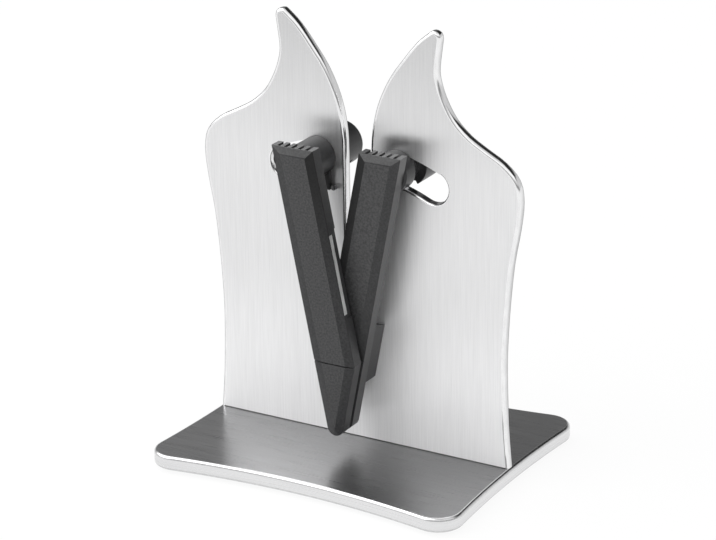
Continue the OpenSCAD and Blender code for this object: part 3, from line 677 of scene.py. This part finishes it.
def windSpring(side, sign, toward):
    # leg from the rear cap, coil round the sleeve, short anchor along Y; drawn as a round wire
    legY = springSet["leg"][side]
    start = math.radians(180 - springSet["legLean"])
    lean = math.radians(springSet["legLean"])
    up = Vector((math.sin(lean), 0, math.cos(lean)))
    coil, steps, legSteps = springSet["coil"], springSet["steps"], springSet["legSteps"]
    first = Vector((coil * math.cos(start), legY, coil * math.sin(start)))
    points = [first + up * springSet["legLength"] * (1 - k / legSteps) for k in range(legSteps)]
    for k in range(round(steps * springSet["turns"]) + 1):
        turned = start + 2 * math.pi * k / steps
        advance = toward * springSet["pitch"] * k / steps
        points.append(Vector((coil * math.cos(turned), legY + advance, coil * math.sin(turned))))
    points.append(points[-1] + Vector((0, toward * springSet["anchor"], 0)))
    selectOnly()
    bpy.ops.curve.primitive_nurbs_path_add(location=(0, 0, 0))
    wire = bpy.context.active_object
    wire.name = side + "_spring_wire"
    wire.data.splines.clear()
    line = wire.data.splines.new("POLY")
    line.points.add(len(points) - 1)
    for point, co in zip(line.points, points):
        point.co = (sign * co.x, co.y, co.z + pivotZ, 1)
    wire.data.bevel_depth = springSet["wire"]
    wire.data.bevel_resolution = 3
    wire.data.use_fill_caps = True
    bpy.ops.object.convert(target="MESH")
    wire = bpy.context.active_object
    smooth(wire, springSet["smooth"], weighted=False)
    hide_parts(side + "_return_spring")
    wire.data.materials.clear()
    wire.data.materials.append(springSteel)
    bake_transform(wire)


windSpring("left", -1, -1)
windSpring("right", 1, 1)
print("return springs made")


# the material of each small part and the angle up to which it is shaded smooth
finishes = {
    "rubber_feet": (rubber, 30), "base_screws": (screwSteel, 30), "stop_pins": (pinSteel, 30),
    "pivot_bolt": (turnedSteel, 30), "pivot_spacer": (turnedSteel, 30),
    "spring_sleeve": (turnedSteel, 30), "pivot_washer": (screwSteel, 30),
    "pivot_nut": (screwSteel, 20), "right_pivot_block": (armPlastic, 30),
    "lock_screw": (blackenedSteel, 25),
}
for side in ("left_", "right_"):
    finishes[side + "pivot_bush"] = (bronze, 30)
    finishes[side + "hub_shaft"] = (turnedSteel, 30)
    finishes[side + "cap_screw"] = (screwSteel, 30)
for node, (material, angle) in finishes.items():
    piece = copyNode(node, node + "_finished")
    smooth(piece, angle)
    dress(piece, node, material)
print("small parts finished")


# glow is the share of plain white in the floor where the camera or a reflection sees it
floorSet = {"size": 16, "tint": (0.9, 0.9, 0.9, 1), "roughness": 0.9, "glow": 0.92}

selectOnly()
bpy.ops.mesh.primitive_plane_add(size=floorSet["size"], location=(0, 0, 0))
floor = bpy.context.active_object
floor.name = "studio_floor"
paper, tree, shader = startMaterial("pale_paper", Roughness=floorSet["roughness"])
tune(paper, "Base Color", floorSet["tint"])
tune(paper, "Specular IOR Level", 0.0)
glow = addNode(tree, "ShaderNodeEmission")
glow.inputs["Color"].default_value = (1, 1, 1, 1)
paths = addNode(tree, "ShaderNodeLightPath")
seen = addNode(tree, "ShaderNodeMath", operation="MAXIMUM")
seenAll = addNode(tree, "ShaderNodeMath", operation="MAXIMUM")
share = addNode(tree, "ShaderNodeMath", operation="MULTIPLY")
share.inputs[1].default_value = floorSet["glow"]
tree.links.new(paths.outputs["Is Camera Ray"], seen.inputs[0])
tree.links.new(paths.outputs["Is Glossy Ray"], seen.inputs[1])
tree.links.new(seen.outputs[0], seenAll.inputs[0])
tree.links.new(paths.outputs["Is Transmission Ray"], seenAll.inputs[1])
tree.links.new(seenAll.outputs[0], share.inputs[0])
surface = addNode(tree, "ShaderNodeMixShader")
tree.links.new(share.outputs[0], surface.inputs[0])
tree.links.new(shader.outputs[0], surface.inputs[1])
tree.links.new(glow.outputs[0], surface.inputs[2])
tree.links.new(surface.outputs[0], tree.nodes["Material Output"].inputs["Surface"])
floor.data.materials.append(paper)

# brightness of the room by height, behind the object and in front of it, then where
# along X or Y one part turns into the next, and how it dims from left to right
roomSet = {
    "rearLeft": [(0.0, 0.5), (0.1, 0.4), (0.24, 0.11), (0.62, 0.14), (0.95, 0.5)],
    "rearRight": [(0.0, 0.5), (0.34, 0.45), (0.43, 0.012), (0.68, 0.02), (0.95, 0.5)],
    "front": [(0.0, 0.5), (0.04, 0.2), (0.16, 0.2), (0.3, 0.42), (0.42, 0.48), (0.6, 0.78),
              (0.85, 0.72), (0.95, 0.5)],
    "leftToRight": (-0.36, -0.12, 0.0, 1.0), "frontToRear": (0.1, 0.55, 1.0, 0.0),
    "dimming": (-0.5, 0.3, 1.0, 0.75), "strength": 2.0,
}
world = bpy.data.worlds.new("studio")
bpy.context.scene.world = world
world.use_nodes = True
sky = world.node_tree
coords = addNode(sky, "ShaderNodeTexCoord")
split = addNode(sky, "ShaderNodeSeparateXYZ")
sky.links.new(coords.outputs["Generated"], split.inputs[0])
rearLeft, rearRight, front = [ramp(sky, split.outputs["Z"], roomSet[part])
                              for part in ("rearLeft", "rearRight", "front")]
rear = mixBy(sky, mapTo(sky, split.outputs["X"], *roomSet["leftToRight"]), rearLeft, rearRight)
room = mixBy(sky, mapTo(sky, split.outputs["Y"], *roomSet["frontToRear"]), rear, front)
dimmed = scaleBy(sky, room, mapTo(sky, split.outputs["X"], *roomSet["dimming"]))
sky.links.new(dimmed, sky.nodes["Background"].inputs["Color"])
sky.nodes["Background"].inputs["Strength"].default_value = roomSet["strength"]

lampAim = Vector((0, 0, 0.06))
lampSet = {
    "left_softbox": {"at": (-1.5, -0.8, 0.85), "size": (2.2, 1.3), "power": 11},
    "high_left_softbox": {"at": (-1.0, -0.7, 1.5), "size": (2.2, 2.2), "power": 18},
}
for name, lamp in lampSet.items():
    bpy.ops.object.light_add(type="AREA", location=lamp["at"])
    light = bpy.context.active_object
    light.name = name
    light.data.shape = "RECTANGLE"
    light.data.size, light.data.size_y = lamp["size"]
    light.data.energy = lamp["power"]
    light.visible_camera = False
    light.rotation_euler = (lampAim - Vector(lamp["at"])).to_track_quat("-Z", "Y").to_euler()

# angles in degrees, focal length in pixels of the image
view = {"place": (543.43 * mm, -932.48 * mm, 492.59 * mm), "yaw": 30.2957, "pitch": 21.2147,
        "roll": -0.8090, "focal": 3150.26, "imageWidth": 716, "sensor": 36, "clipEnd": 50}
turn = Euler((math.radians(90 - view["pitch"]), 0, math.radians(view["yaw"]))).to_matrix() \
    @ Matrix.Rotation(math.radians(view["roll"]), 3, "Z")
bpy.ops.object.camera_add(location=view["place"], rotation=turn.to_euler())
camera = bpy.context.active_object
camera.data.sensor_width = view["sensor"]
camera.data.sensor_fit = "HORIZONTAL"
camera.data.lens = view["focal"] * view["sensor"] / view["imageWidth"]
camera.data.clip_end = view["clipEnd"]
bpy.context.scene.camera = camera
bpy.context.scene.view_settings.view_transform = "Standard"
print("studio and camera set")

bpy.context.view_layer.update()
